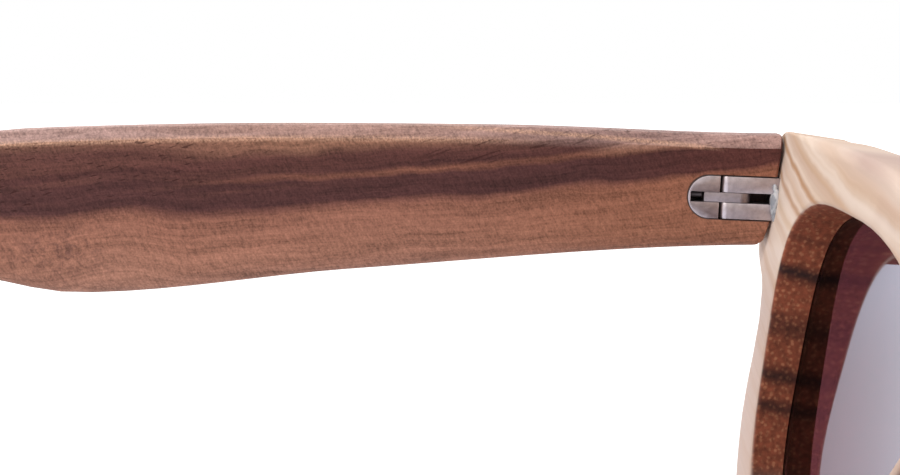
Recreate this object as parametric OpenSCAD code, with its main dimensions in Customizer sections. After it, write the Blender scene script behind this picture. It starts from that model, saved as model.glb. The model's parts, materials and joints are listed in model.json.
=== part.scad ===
// Wooden sunglasses: a solid front, two temples, two lenses and two spring hinges.
// Millimetres. The front faces -Y, the temples run to +Y, the wearer's left is +X.
// The glasses stand open on the floor plane, on the rims and on the tips of the temples.

/* [Lens openings] */
// Width of a lens opening at its middle height
opening_w = 47; // [42:0.5:52]
// Height of a lens opening
opening_h = 38; // [32:0.5:42]
// Distance between the two openings at the nose
bridge_gap = 22; // [20:0.5:26]
// How far the top of an opening lies above the hinge line
opening_rise = 1.25; // [0:0.05:2.5]
// How far the highest point of an opening lies from its outer edge
peak_side = 20.5; // [16:0.5:24]
// How far below its top an opening comes closest to the nose
nasal_drop = 15.5; // [12:0.5:18]
// How much wider an opening is at its top than at its bottom, as a share of its width
opening_taper = 0.16; // [0:0.01:0.3]
// How far the outer top corner of an opening is eased at the back
corner_ease = 0.4; // [0:0.05:0.8]

/* [Front] */
// Thickness of the front
front_t = 7.3; // [6.9:0.1:8.5]
// Width of the rim at the outer side
rim_side = 5.9; // [5:0.1:7]
// Width of the rim at the bottom
rim_bottom = 4.6; // [4:0.1:7]
// Width of the rim at the nose
rim_nose = 3.8; // [3.4:0.1:4.6]
// Height of the brow above an opening
brow_h = 5.9; // [4.5:0.1:8]
// How far the bridge lies below the brow
bridge_dip = 5.2; // [3:0.1:7]
// Height of the bridge
bridge_h = 8; // [6:0.1:10]
// Distance from an opening's outer edge to the inner face of the temple
endpiece_reach = 5.9; // [5.5:0.1:8]
// Radius of the front's wrap, seen from above
wrap_r = 1000; // [600:50:2000]
// Angle by which the front's lower edge leans back
front_tilt = 8.5; // [5:0.5:11]
// Round on the outer edges of the front
front_round = 1.3; // [0.6:0.1:1.5]
// Round on the rear edge where a temple meets the front
seat_round = 0.2; // [0.1:0.05:0.6]
// Round on the edges of the openings
opening_round = 0.5; // [0.2:0.1:0.6]
// How far the nose rests stand out behind the rims
pad_depth = 2.8; // [1:0.1:4]
// How far the middle of a nose rest lies below the opening's closest point to the nose
pad_drop = 3; // [0:0.5:5]

/* [Lenses] */
// Thickness of a lens
lens_t = 1.2; // [1:0.1:1.6]
// Radius to which a lens is bent
lens_r = 157; // [120:1:300]
// Depth of a lens's crown below the front face
lens_set = 2.1; // [1.6:0.1:2.4]
// How far a lens's crown lies outside the middle of its opening
lens_out = 2.9; // [0:0.1:5]
// Angle by which the axis of a lens's bend leans out at its top
lens_turn = 19; // [0:1:22]
// Depth of the groove in the rim
groove_depth = 0.9; // [0.6:0.1:1.2]
// Gap between a lens and each side of its groove
lens_clear = 0.06; // [0.03:0.01:0.1]
// Gap between the edge of a lens and the bottom of its groove
lens_edge_clear = 0.15; // [0.05:0.01:0.3]

/* [Temples] */
// Length of a temple along its middle line
temple_len = 150; // [140:1:160]
// Thickness of a temple at its hinge
temple_t = 5; // [4.8:0.1:6]
// Thickness of a temple at its tip
temple_tip_t = 3.6; // [3.4:0.1:5]
// Height of a temple's front end above the hinge line
temple_top = 6.6; // [5.5:0.1:8]
// Depth of a temple's front end below the hinge line
temple_bottom = 5.2; // [4.5:0.1:6.5]
// Height of a temple's crown above the hinge line
crown_h = 7.75; // [7:0.05:9]
// Depth of a temple's belly below the hinge line
belly_h = 10.35; // [8:0.05:11.5]
// Distance from a temple's front end to the lowest point of its belly
belly_at = 74; // [66:0.5:78]
// Width of a temple at the ear
ear_w = 13.6; // [11:0.1:15]
// Width of a temple's tip
tip_w = 10.4; // [8:0.1:12]
// Distance from a temple's front end to the start of the ear bend
bend_start = 75; // [70:0.5:84]
// Length of the ear bend
bend_run = 36; // [32:0.5:46]
// Angle of the ear bend
bend_angle = 44.5; // [36:0.5:50]
// How far a temple's tip leans in towards the head
tip_in = 2.5; // [0:0.1:4]
// Round on the long edges of a temple
temple_round = 1.4; // [0.6:0.1:1.7]
// Round on the lower corner of a temple's front end
butt_round = 1; // [0.5:0.1:1.5]
// Gap between a temple's front end and the front
butt_gap = 0.3; // [0.25:0.01:0.5]

/* [Hinges] */
// Height of a hinge
hinge_h = 4.5; // [4:0.1:5]
// Depth of the hinge's arms into the temple
arm_t = 2.6; // [2.4:0.05:2.8]
// Angle of the hinge to the temple
hinge_tilt = 2.4; // [0:0.1:4]
// Distance of the pivot behind the front
pivot_back = 4.3; // [4.2:0.1:5]
// How far the arms reach behind the pivot
arm_end = 1.55; // [1.5:0.05:1.6]
// Gap between the arms and the housing
shoulder_gap = 0.2; // [0.2:0.01:0.4]
// How far the tang goes into the front
tang_depth = 3.4; // [2.5:0.1:3.6]
// Distance from the front to the root of the fork
fork_root = 0.6; // [0.6:0.1:1.2]
// Thickness of the slider's tongue
tongue_t = 1; // [0.8:0.05:1.2]
// How far the tongue's eye reaches in front of the pivot, apart from its round end
eye_reach = 0.55; // [0:0.05:0.7]
// How much of the tongue stays in the housing at full travel
tongue_hold = 0.6; // [0.3:0.05:0.7]
// Diameter of the pivot screw
screw_d = 1.2; // [1:0.05:1.4]
// Diameter of the screw's head
screw_head_d = 1.9; // [1.7:0.05:2]
// Height of the screw's head
screw_head_h = 0.5; // [0.4:0.05:0.6]
// Length of the housing's block
housing_len = 3.3; // [3.2:0.05:4]
// Depth of the housing's block into the temple
housing_t = 3.5; // [3.4:0.05:3.7]
// Outer diameter of the housing's tube
tube_d = 2.6; // [2.5:0.05:2.8]
// Wall of the housing's tube
tube_wall = 0.3; // [0.25:0.01:0.35]
// Depth of the tube's middle line behind the pivot, away from the head
tube_out = 0.95; // [0.85:0.05:1]
// Diameter of the slider's rod
rod_d = 0.9; // [0.8:0.05:0.9]
// Travel of the spring hinge
flex_travel = 1; // [0.5:0.1:1.4]
// Length of the spring at rest
spring_len = 6.2; // [6:0.1:8]
// Diameter of the spring's wire
spring_wire = 0.24; // [0.2:0.01:0.26]
// Number of turns of the spring
spring_turns = 8; // [6:1:8]
// Length of the stop on the rod
stop_len = 0.8; // [0.6:0.1:1.2]
// Running gap between the steel pieces
run_clear = 0.05; // [0.03:0.01:0.08]
// Gap between a steel piece and the wood that holds it
wood_clear = 0.06; // [0.03:0.01:0.1]

/* [Hidden] */
$fn = 48;
lens_fn = 360;

front_wood = "wheat";
temple_wood = "sienna";
lens_tint = "dimgray";
steel = "silver";

// Shape of an opening's corners: 2 is an ellipse, and more is squarer
corner_outer_top = 3.9;
corner_outer_bottom = 2.7;
corner_nose_top = 1.95;
corner_nose_bottom = 2.2;

// The front seen from behind: u runs out to the side, v runs up from the hinge line
nose_u = bridge_gap / 2;
peak_u = nose_u + opening_w - peak_side;
opening_top = opening_rise;
opening_bottom = opening_top - opening_h;
middle_v = (opening_top + opening_bottom) / 2;
nasal_v = opening_top - nasal_drop;
lens_c = [peak_u, middle_v];
temple_x = nose_u + opening_w + endpiece_reach;
end_u = temple_x + temple_t;
seat_margin = 1;
seat_u = temple_x - seat_margin;
brow_v = opening_top + brow_h;
bridge_v = brow_v - bridge_dip;
saddle_v = bridge_v - bridge_h;
arch_u = nose_u - rim_nose;
arch_share = 0.9;
arch_v = arch_share * arch_u;

// Where a nose rest swells, and how wide and tall the swelling is
pad_at = [arch_u, nasal_v - pad_drop];
pad_size = [4.5, 6];
pad_splay = 1.6;

// The steps of the lofts
outline_steps = 4;
bridge_steps = 4;
hit_steps = 24;
far = 60;
nudge = 0.01;

// Shared curves

function smooth(t) = let (c = min(max(t, 0), 1)) c * c * (3 - 2 * c);
function mix(a, b, t) = a + (b - a) * t;

// A cubic from p to q over a length d, leaving along m and arriving along n
function hermite(p, q, m, n, d, t) =
    (2 * t ^ 3 - 3 * t ^ 2 + 1) * p + (t ^ 3 - 2 * t ^ 2 + t) * d * m
    + (3 * t ^ 2 - 2 * t ^ 3) * q + (t ^ 3 - t ^ 2) * d * n;

// The direction of a smooth curve at its i-th point, weighted by the nearer neighbour
function direction(p, i) = let (
    a = p[i] - p[i - 1],
    b = p[i + 1] - p[i],
    m = a / norm(a) * norm(b) + b / norm(b) * norm(a)
) m / norm(m);

// A smooth curve of a length s through key values [s, value] that never swings past a key
function key_slope(k, i) = i == 0 || i == len(k) - 1 ? 0 : let (
    a = (k[i].y - k[i - 1].y) / (k[i].x - k[i - 1].x),
    b = (k[i + 1].y - k[i].y) / (k[i + 1].x - k[i].x)
) a * b > 0 ? 2 * a * b / (a + b) : 0;
function key_curve(k, s, i = 0) = s > k[i + 1].x && i < len(k) - 2 ? key_curve(k, s, i + 1) : let (
    d = k[i + 1].x - k[i].x
) hermite(k[i].y, k[i + 1].y, key_slope(k, i), key_slope(k, i + 1), d, min((s - k[i].x) / d, 1));

// Triangles between neighbouring rings of a loft, and the fans that close its ends
function band(a, b, c, d) = [[a, b, c], [a, c, d]];
function loft_faces(rings, sides) = concat(
    [[for (j = [sides - 1:-1:0]) j]],
    [for (i = [0:rings - 2], j = [0:sides - 1], f = band(
        i * sides + j, i * sides + (j + 1) % sides,
        (i + 1) * sides + (j + 1) % sides, (i + 1) * sides + j)) f],
    [[for (j = [0:sides - 1]) (rings - 1) * sides + j]]
);

// Lens opening: a curve of four quarters that meet square at its top, bottom and sides

function opening_level(p) = let (
    du = (p.x - peak_u) / (1 + opening_taper * (p.y - middle_v) / opening_h),
    outer = du > 0,
    widest_v = outer ? middle_v : nasal_v,
    half_w = outer ? peak_side : opening_w - peak_side,
    dv = p.y - widest_v,
    upper = dv > 0,
    half_h = upper ? opening_top - widest_v : widest_v - opening_bottom,
    power = outer
        ? (upper ? corner_outer_top : corner_outer_bottom)
        : (upper ? corner_nose_top : corner_nose_bottom)
) pow(abs(du) / half_w, power) + pow(abs(dv) / half_h, power);

function opening_hit(way, lo = 0, hi = far, n = hit_steps) = let (r = (lo + hi) / 2)
    n == 0 ? lens_c + r * way
    : opening_level(lens_c + r * way) < 1 ? opening_hit(way, r, hi, n - 1)
    : opening_hit(way, lo, r, n - 1);

function opening_normal(p) = let (
    du = opening_level(p + [nudge, 0]) - opening_level(p - [nudge, 0]),
    dv = opening_level(p + [0, nudge]) - opening_level(p - [0, nudge])
) [du, dv] / norm([du, dv]);

// Outer outline of one half of the front, from the saddle round the rim to the top of the bridge

// Angles round an opening at which the rim has its widths of the nose, the bottom and the side
nose_angle = 190;
bottom_angle = 270;
side_angle = 345;
rim_angle_step = 17.5;
rim_angles = [for (a = [nose_angle:rim_angle_step:side_angle + rim_angle_step]) a];
arch_angles = [90, 60, 30];

// Points on the endpiece, from its lower and its upper outer corner
endpiece_low = [[-4.5, -5], [-1.5, -2.4], [-0.25, -0.6], [0, 1.4]];
endpiece_high = [[0, -3.4], [-0.4, -1.4], [-1.9, -0.15]];

// Points on the brow: how far from the opening's peak, and which share of the dip to the bridge
brow_us = [10, -6, -20];
brow_shares = [0, 0.14, 0.6];
shoulder_in = 8;
shoulder_share = 0.8;
bridge_crown_share = 0.08;

function rim_width(angle) = angle < bottom_angle
    ? mix(rim_nose, rim_bottom, smooth((angle - nose_angle) / (bottom_angle - nose_angle)))
    : mix(rim_bottom, rim_side, smooth((angle - bottom_angle) / (side_angle - bottom_angle)));
function rim_point(angle) = let (p = opening_hit([cos(angle), sin(angle)]))
    p + rim_width(angle) * opening_normal(p);

outline = concat(
    [for (a = arch_angles) [arch_u * cos(a), saddle_v - arch_v + arch_v * sin(a)]],
    [for (a = rim_angles) rim_point(a)],
    [for (p = endpiece_low) p + [end_u, -temple_bottom]],
    [for (p = endpiece_high) p + [end_u, temple_top]],
    [[end_u - shoulder_in, mix(temple_top, brow_v, shoulder_share)]],
    [for (i = [0:len(brow_us) - 1]) [peak_u + brow_us[i], brow_v - brow_shares[i] * bridge_dip]],
    [[nose_u / 2, bridge_v + bridge_crown_share * bridge_dip], [0, bridge_v]]
);
outline_last = len(outline) - 1;

function outline_way(i) = i == 0 ? [1, 0] : i == outline_last ? [-1, 0] : direction(outline, i);
function outline_at(i, t) = hermite(outline[i], outline[i + 1], outline_way(i), outline_way(i + 1),
    norm(outline[i + 1] - outline[i]), t);

rim_stations = concat(
    [for (i = [0:outline_last - 1], k = [0:outline_steps - 1]) outline_at(i, k / outline_steps)],
    [outline[outline_last]]
);
bridge_stations = [for (k = [1:bridge_steps - 1]) [0, mix(bridge_v, saddle_v, k / bridge_steps)]];
stations = concat(rim_stations, bridge_stations);
rim_last = len(rim_stations) - 1;

// The way into the wood from the outer outline, square to it
function outer_inward(i) = i == 0 ? [0, 1] : i >= rim_last ? [0, -1] : let (
    w = stations[i + 1] - stations[i - 1]
) [-w.y, w.x] / norm(w);

// The angle at which each section leaves the opening, even along the arch and down the bridge
arch_last = len(arch_angles) * outline_steps;
function station_angle(i) = let (w = stations[i] - lens_c, a = atan2(w.y, w.x)) a < 0 ? a + 360 : a;
function inner_angle(i) =
    i < arch_last ? mix(station_angle(0), station_angle(arch_last), i / arch_last)
    : i > rim_last ? mix(station_angle(rim_last), station_angle(0), (i - rim_last) / bridge_steps)
    : station_angle(i);
inner_points = [for (i = [0:len(stations) - 1]) let (a = inner_angle(i)) opening_hit([cos(a), sin(a)])];
inner_ways = [for (p = inner_points) opening_normal(p)];

// Depths of the front: its back, its face and the two surfaces of the lens

function back_y(u) = (u * u - seat_u * seat_u) / (2 * wrap_r);
function pad_share(p) = exp(-pow((p.x - pad_at.x) / pad_size.x, 2) - pow((p.y - pad_at.y) / pad_size.y, 2));
function wood_back(p) = min(back_y(p.x), 0) + pad_depth * pad_share(p);
function wood_face(p) = back_y(p.x) - front_t;

// The rear edge is crisp where a temple meets the front, and rounder along the rest
seat_in = 9;
seat_run = 5;
function seat_share(p) = smooth((p.x - temple_x + seat_in) / seat_run)
    * smooth((p.y + temple_bottom + seat_run) / seat_run);
function rear_round(p) = mix(front_round, seat_round, seat_share(p));

lens_u = nose_u + opening_w / 2 + lens_out;
lens_front_y = back_y(lens_u) - front_t + lens_set;
lens_centre = [lens_u, lens_front_y + lens_r, middle_v];
function lens_across(p) = (p.x - lens_centre.x) * cos(lens_turn) - (p.y - lens_centre.z) * sin(lens_turn);
function lens_y(p, r) = lens_centre.y - sqrt(r * r - pow(lens_across(p), 2));

// One section of the front, from the opening's edge to the outer edge and back, with its groove
bite = 1 - cos(45);
corner_angle = atan2(opening_top - middle_v, peak_side);
corner_power = 6;
function ease(i) = corner_ease * pow(max(cos(inner_angle(i) - corner_angle), 0), corner_power);
middle_shares = [0.15, 0.3, 0.7, 0.85];
function section(i) = let (
    p = inner_points[i],
    m = inner_ways[i],
    q = stations[i],
    n = outer_inward(i),
    joined = i > rim_last,
    ri = opening_round,
    ro = joined ? 0 : front_round,
    rb = joined ? 0 : rear_round(q),
    splay = n * pad_splay * (joined ? 0 : pad_share(q)),
    face_in = p + m * ri,
    eased = p + m * ease(i),
    back_in = eased + m * ri,
    face_out = q + n * ro,
    wall_out = q + splay,
    back_out = wall_out + n * rb,
    face_mid = (face_in + face_out) / 2,
    back_mid = (back_in + back_out) / 2,
    yf = wood_face(q),
    yb = wood_back(q),
    depth = yb - yf,
    steps = joined ? middle_shares * depth : [bite * ro, ro, depth - rb, depth - bite * rb],
    groove = p + m * groove_depth
) [
    [p, wood_face(p) + ri],
    [p + m * bite * ri, wood_face(p) + bite * ri],
    [face_in, wood_face(face_in)],
    [face_mid, wood_face(face_mid)],
    [face_out, wood_face(face_out)],
    [q + n * bite * ro, yf + steps[0]],
    [q, yf + steps[1]],
    [wall_out, yf + steps[2]],
    [wall_out + n * bite * rb, yf + steps[3]],
    [back_out, wood_back(q)],
    [back_mid, wood_back(back_mid)],
    [back_in, wood_back(back_in)],
    [eased + m * bite * ri, wood_back(eased) - bite * ri],
    [eased, wood_back(eased) - ri],
    [p, lens_y(p, lens_r - lens_t) + lens_clear],
    [groove, lens_y(groove, lens_r - lens_t) + lens_clear],
    [groove, lens_y(groove, lens_r) - lens_clear],
    [p, lens_y(p, lens_r) - lens_clear]
];
section_sides = 18;
first_outer = 4;
last_outer = 9;

// The two halves of the front share their points on the middle plane, where no wall is drawn
half_points = [for (i = [0:len(stations) - 1], s = section(i)) [s[0].x, s[1], s[0].y]];
half_count = len(half_points);
function on_middle(i, j) = (i == 0 || i >= rim_last) && j >= first_outer && j <= last_outer;
function front_index(side, i, j) = let (k = i % len(stations), l = j % section_sides)
    k * section_sides + l + (side == 0 || on_middle(k, l) ? 0 : half_count);
front_points = concat(half_points, [for (p = half_points) [-p.x, p.y, p.z]]);
function front_quad(side, i, j) = let (
    a = front_index(side, i, j),
    b = front_index(side, i + 1, j),
    c = front_index(side, i + 1, j + 1),
    d = front_index(side, i, j + 1)
) side == 0 ? band(a, b, c, d) : band(a, d, c, b);
front_faces = [
    for (side = [0, 1], i = [0:len(stations) - 1], j = [0:section_sides - 1])
        if (!(i >= rim_last && j >= first_outer && j < last_outer))
            for (f = front_quad(side, i, j)) f
];

// Temple: rounded sections along a middle line that bends down behind the ear

temple_steps = 42;
tip_steps = 5;
corner_steps = 4;
tip_r = tip_w / 2;
tip_flat_angle = 12;
tip_thin_share = 0.55;
round_share = 0.48;
chamfer = 0.2;
ear_at = bend_start + bend_run / 2;

// The top reaches nearly its full height early, and the belly half its depth past its middle
crown_from = 0.4 * bend_start;
crown_to = 0.7 * bend_start;
crown_share = 0.976;
belly_half_at = 0.6 * belly_at;
belly_half = (temple_bottom + belly_h) / 2;

top_keys = [
    [0, temple_top], [crown_from, crown_share * crown_h], [crown_to, crown_h],
    [ear_at, ear_w / 2], [temple_len - tip_w, tip_r], [temple_len, tip_r]
];
bottom_keys = [
    [0, temple_bottom], [belly_half_at, belly_half], [belly_at, belly_h],
    [ear_at, ear_w / 2], [temple_len - tip_w, tip_r], [temple_len, tip_r]
];
thick_keys = [[0, temple_t], [temple_len, temple_tip_t]];

straight_stations = [for (i = [0:temple_steps]) i / temple_steps * (temple_len - tip_r)];
tip_stations = [
    for (i = [1:tip_steps]) temple_len - tip_r + tip_r * sin(i / tip_steps * (90 - tip_flat_angle))
];
butt_stations = [0, chamfer, 0.7 * butt_round, butt_round];
temple_stations = concat(butt_stations, [for (i = [1:temple_steps]) straight_stations[i]], tip_stations);
temple_last = len(temple_stations) - 1;

function bend_at(s) = bend_angle * smooth((s - bend_start) / bend_run);
function path_step(s, i) = let (a = bend_at((s[i] + s[i + 1]) / 2)) (s[i + 1] - s[i]) * [cos(a), -sin(a)];
temple_path = [
    for (i = 0, p = [0, 0]; i <= temple_last;
        p = i < temple_last ? p + path_step(temple_stations, i) : p, i = i + 1) p
];

// The place of the hinge in the finished frame
floor_y = back_y(peak_u) - front_t + front_round;
floor_v = rim_bottom - opening_bottom - front_round;
hinge_z = floor_v * cos(front_tilt) - floor_y * sin(front_tilt) + front_round;
path_end = temple_path[len(temple_path) - 1];
rear_y = butt_gap + path_end.x + tip_w / 2 * (1 - cos(bend_angle));
face_y = (back_y(0) - front_t) * cos(front_tilt) - bridge_v * sin(front_tilt);
shift_y = -(rear_y + face_y) / 2;
pivot_x = temple_x + arm_t / 2;

// A long edge: an arc that meets the side of the temple in a slight arris and the top without one
arris_angle = 40;
function edge_point(k) = let (w = mix(arris_angle, 90, k / corner_steps))
    [cos(w) / cos(arris_angle), (sin(w) - sin(arris_angle)) / (1 - sin(arris_angle))];

// How far the section is drawn in at the chamfered front end and at the round tip
function tip_share(s) = s < temple_len - tip_r ? 1 : sqrt(1 - pow((s - temple_len + tip_r) / tip_r, 2));
function temple_section(i) = let (
    s = temple_stations[i],
    inset = i == 0 ? chamfer : 0,
    share = tip_share(s),
    full_t = key_curve(thick_keys, s),
    t = full_t * mix(tip_thin_share, 1, sqrt(share)) - 2 * inset,
    lift = s < butt_round ? butt_round - sqrt(pow(butt_round, 2) - pow(butt_round - s, 2)) : 0,
    up = key_curve(top_keys, s) * share - inset,
    down = key_curve(bottom_keys, s) * share - lift,
    r = min(temple_round, round_share * t, round_share * (up + down)),
    middle_x = full_t / 2 - tip_in * smooth((s - bend_start) / (temple_len - bend_start)),
    middle_z = (up - down) / 2,
    slant = tan(front_tilt) * (1 - smooth(s / bend_start)),
    a = bend_at(s)
) [
    for (q = [0:3], k = [0:corner_steps]) let (
        side_x = q == 0 || q == 3 ? 1 : -1,
        side_z = q < 2 ? 1 : -1,
        e = edge_point(q % 2 == 0 ? k : corner_steps - k),
        x = side_x * (t / 2 - r + r * e.x),
        z = middle_z + side_z * ((up + down) / 2 - r + r * e.y)
    ) [
        middle_x + x,
        temple_path[i].x + z * sin(a) - z * slant,
        temple_path[i].y + z * cos(a)
    ]
];
temple_points = [for (i = [0:temple_last], p = temple_section(i)) p];

module temple_body() {
    polyhedron(temple_points, loft_faces(temple_last + 1, 4 * (corner_steps + 1)));
}

// Placing: the front leans back about the hinge line, and a hinge has its own slight lean

module front_place() {
    translate([0, shift_y, hinge_z]) rotate([front_tilt, 0, 0]) children();
}

module temple_place() {
    translate([temple_x, shift_y + butt_gap, hinge_z]) children();
}

module hinge_place() {
    translate([pivot_x, shift_y + pivot_back, hinge_z]) rotate([hinge_tilt, 0, 0]) children();
}

module right_side() {
    mirror([1, 0, 0]) children();
}

// A cylinder along +Y that starts at the plane y
module rod_y(x, y, d, length) {
    translate([x, y, 0]) rotate([-90, 0, 0]) cylinder(d = d, h = length);
}

// A block between two corners
module block(lo, hi) {
    translate(lo) cube(hi - lo);
}

// Hinge sizes: x runs out from the head, y runs back along the temple, from the pivot

arm_in = -arm_t / 2;
arm_out = arm_t / 2;
arm_round_in = 0.7;
arm_round_out = 1;
fork_slot = tongue_t + 2 * run_clear;
fork_front = fork_root - pivot_back;
tang_front = -pivot_back - tang_depth;
shoulder_y = arm_end + shoulder_gap;
housing_r = hinge_h / 2;
housing_round_y = shoulder_y + housing_len - housing_r;
housing_end = shoulder_y + housing_len;
housing_out = arm_in + housing_t;
slot_end_wall = 0.25;
slot_end = housing_end - slot_end_wall;
spring_seat_wall = 0.7;
seat_y = housing_end + spring_seat_wall;
spring_end = seat_y + spring_len;
stop_end = spring_end + stop_len;
tube_bore = tube_d - 2 * tube_wall;
tube_spare = 0.6;
tube_end = stop_end + tube_spare + tube_wall;
tongue_set = 0.1;
tongue_in = arm_in + tongue_set;
tongue_out = tube_out + rod_d / 2;
tongue_len = shoulder_y + flex_travel + tongue_hold;
eye_r = arm_t / 2 - run_clear;
eye_flat = 0.2;
screw_hole_d = screw_d + 2 * run_clear;
coil_r = (rod_d + tube_bore) / 4;
stop_d = tube_bore - 4 * run_clear;
pocket_h = hinge_h + 4 * wood_clear;
arm_pocket_out = norm([arm_out - arm_round_out, arm_end - arm_round_out]) + arm_round_out + wood_clear;
beyond = 20;

// The plan of the fork's arms, with the two round corners that let the temple swing
module leaf_plan() {
    translate([arm_in, tang_front]) square([arm_t, arm_end - arm_round_out - tang_front]);
    translate([arm_in, 0]) square([arm_t - arm_round_out, arm_end - arm_round_in]);
    translate([arm_in + arm_round_in, 0]) square([arm_t - arm_round_in - arm_round_out, arm_end]);
    translate([arm_in + arm_round_in, arm_end - arm_round_in]) circle(arm_round_in);
    translate([arm_out - arm_round_out, arm_end - arm_round_out]) circle(arm_round_out);
}

module hinge_leaf() {
    head_seat = screw_head_h + run_clear;
    difference() {
        translate([0, 0, -hinge_h / 2]) linear_extrude(hinge_h) leaf_plan();
        block([-beyond, fork_front, -fork_slot / 2], [beyond, beyond, fork_slot / 2]);
        translate([0, 0, -hinge_h]) cylinder(d = screw_hole_d, h = 2 * hinge_h);
        translate([0, 0, hinge_h / 2 - head_seat]) cylinder(d = screw_head_d + 2 * run_clear, h = hinge_h);
    }
}

module hinge_screw() {
    driver_w = 0.3;
    driver_depth = 0.25;
    top = hinge_h / 2;
    difference() {
        union() {
            translate([0, 0, -top]) cylinder(d = screw_d, h = hinge_h - screw_head_h);
            translate([0, 0, top - screw_head_h]) cylinder(d = screw_head_d, h = screw_head_h);
        }
        block([-beyond, -driver_w / 2, top - driver_depth], [beyond, driver_w / 2, beyond]);
    }
}

module hinge_slider() {
    difference() {
        union() {
            translate([0, -eye_reach, -tongue_t / 2]) cylinder(r = eye_r, h = tongue_t);
            block([tongue_in, -eye_reach, -tongue_t / 2], [eye_r - eye_flat, 0, tongue_t / 2]);
            block([tongue_in, 0, -tongue_t / 2], [tongue_out, tongue_len, tongue_t / 2]);
            rod_y(tube_out, tongue_len - rod_d / 2, rod_d, stop_end - tongue_len + rod_d / 2);
        }
        translate([0, 0, -tongue_t]) cylinder(d = screw_hole_d, h = 2 * tongue_t);
        block([eye_r - eye_flat, -eye_r - eye_reach, -tongue_t], [beyond, eye_r / 2, tongue_t]);
    }
}

module hinge_stop() {
    difference() {
        rod_y(tube_out, spring_end, stop_d, stop_len);
        rod_y(tube_out, spring_end - stop_len, rod_d + run_clear, 3 * stop_len);
    }
}

module hinge_housing() {
    difference() {
        union() {
            block([arm_in, shoulder_y, -housing_r], [housing_out, housing_round_y, housing_r]);
            translate([arm_in, housing_round_y, 0]) rotate([0, 90, 0])
                cylinder(r = housing_r, h = housing_t);
            rod_y(tube_out, housing_round_y, tube_d, tube_end - housing_round_y);
        }
        block([-beyond, -beyond, -beyond], [beyond, shoulder_y, beyond]);
        block([-beyond, 0, -fork_slot / 2], [tongue_out + run_clear, slot_end, fork_slot / 2]);
        rod_y(tube_out, housing_round_y, rod_d + 2 * run_clear, housing_len);
        rod_y(tube_out, seat_y, tube_bore, tube_end - tube_wall - seat_y);
    }
}

// The spring: one tube swept along a helix between its seat and the stop
coil_rings = 8;
coil_sides = 6;
coil_start = seat_y + spring_wire / 2 + run_clear;
coil_run = spring_len - spring_wire - 2 * run_clear;
coil_count = spring_turns * coil_rings;
coil_points = [
    for (i = [0:coil_count], j = [0:coil_sides - 1]) let (
        a = 360 * i / coil_rings,
        b = 360 * j / coil_sides,
        r = coil_r + spring_wire / 2 * cos(b),
        y = coil_start + coil_run * i / coil_count - spring_wire / 2 * sin(b)
    ) [tube_out + r * cos(a), y, r * sin(a)]
];

module hinge_spring() {
    polyhedron(coil_points, loft_faces(coil_count + 1, coil_sides));
}

// The hollows in the wood that take the hinge

module hinge_mortise() {
    block(
        [arm_in - wood_clear, tang_front - wood_clear, -hinge_h / 2 - wood_clear],
        [arm_out + wood_clear, fork_front, hinge_h / 2 + wood_clear]
    );
}

module hinge_pocket() {
    r = housing_r + wood_clear;
    out = housing_out + wood_clear;
    block([-beyond, -beyond, -pocket_h / 2], [arm_pocket_out, shoulder_y, pocket_h / 2]);
    block([-beyond, arm_end, -r], [out, housing_round_y, r]);
    translate([-beyond, housing_round_y, 0]) rotate([0, 90, 0]) cylinder(r = r, h = beyond + out);
    rod_y(tube_out, housing_round_y, tube_d + 2 * wood_clear, tube_end + wood_clear - housing_round_y);
}

// The sub-parts, each in its place

module front_frame() {
    color(front_wood) difference() {
        front_place() polyhedron(front_points, front_faces);
        hinge_place() hinge_mortise();
        right_side() hinge_place() hinge_mortise();
    }
}

module lens() {
    lens_edge = [
        for (i = [0:len(stations) - 1]) inner_points[i] + inner_ways[i] * (groove_depth - lens_edge_clear)
    ];
    color(lens_tint) front_place() intersection() {
        translate([0, front_t, 0]) rotate([90, 0, 0]) linear_extrude(4 * front_t) polygon(lens_edge);
        translate(lens_centre) rotate([0, lens_turn, 0]) difference() {
            cylinder(r = lens_r, h = 2 * far, center = true, $fn = lens_fn);
            cylinder(r = lens_r - lens_t, h = 3 * far, center = true, $fn = lens_fn);
        }
    }
}

module temple() {
    color(temple_wood) difference() {
        temple_place() temple_body();
        hinge_place() hinge_pocket();
    }
}

module steel_piece() {
    color(steel) hinge_place() children();
}

front_frame();
lens();  // lens_left
right_side() lens();  // lens_right
temple();  // temple_left
right_side() temple();  // temple_right
steel_piece() hinge_leaf();  // hinge_leaf_left
right_side() steel_piece() hinge_leaf();  // hinge_leaf_right
steel_piece() hinge_housing();  // hinge_housing_left
right_side() steel_piece() hinge_housing();  // hinge_housing_right
steel_piece() hinge_slider();  // hinge_slider_left
right_side() steel_piece() hinge_slider();  // hinge_slider_right
steel_piece() hinge_spring();  // hinge_spring_left
right_side() steel_piece() hinge_spring();  // hinge_spring_right
steel_piece() hinge_stop();  // hinge_stop_left
right_side() steel_piece() hinge_stop();  // hinge_stop_right
steel_piece() hinge_screw();  // hinge_screw_left
right_side() steel_piece() hinge_screw();  // hinge_screw_right
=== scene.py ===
# %% [markdown]
# # Wooden sunglasses
# The object is a pair of sunglasses with a carved wooden front, two bent wooden temples on small steel
# spring hinges, and dark lenses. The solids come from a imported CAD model, so every piece already stands
# in its place. This lesson gives them smooth surfaces, fine edges and finishes, and sets the scene.

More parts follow.
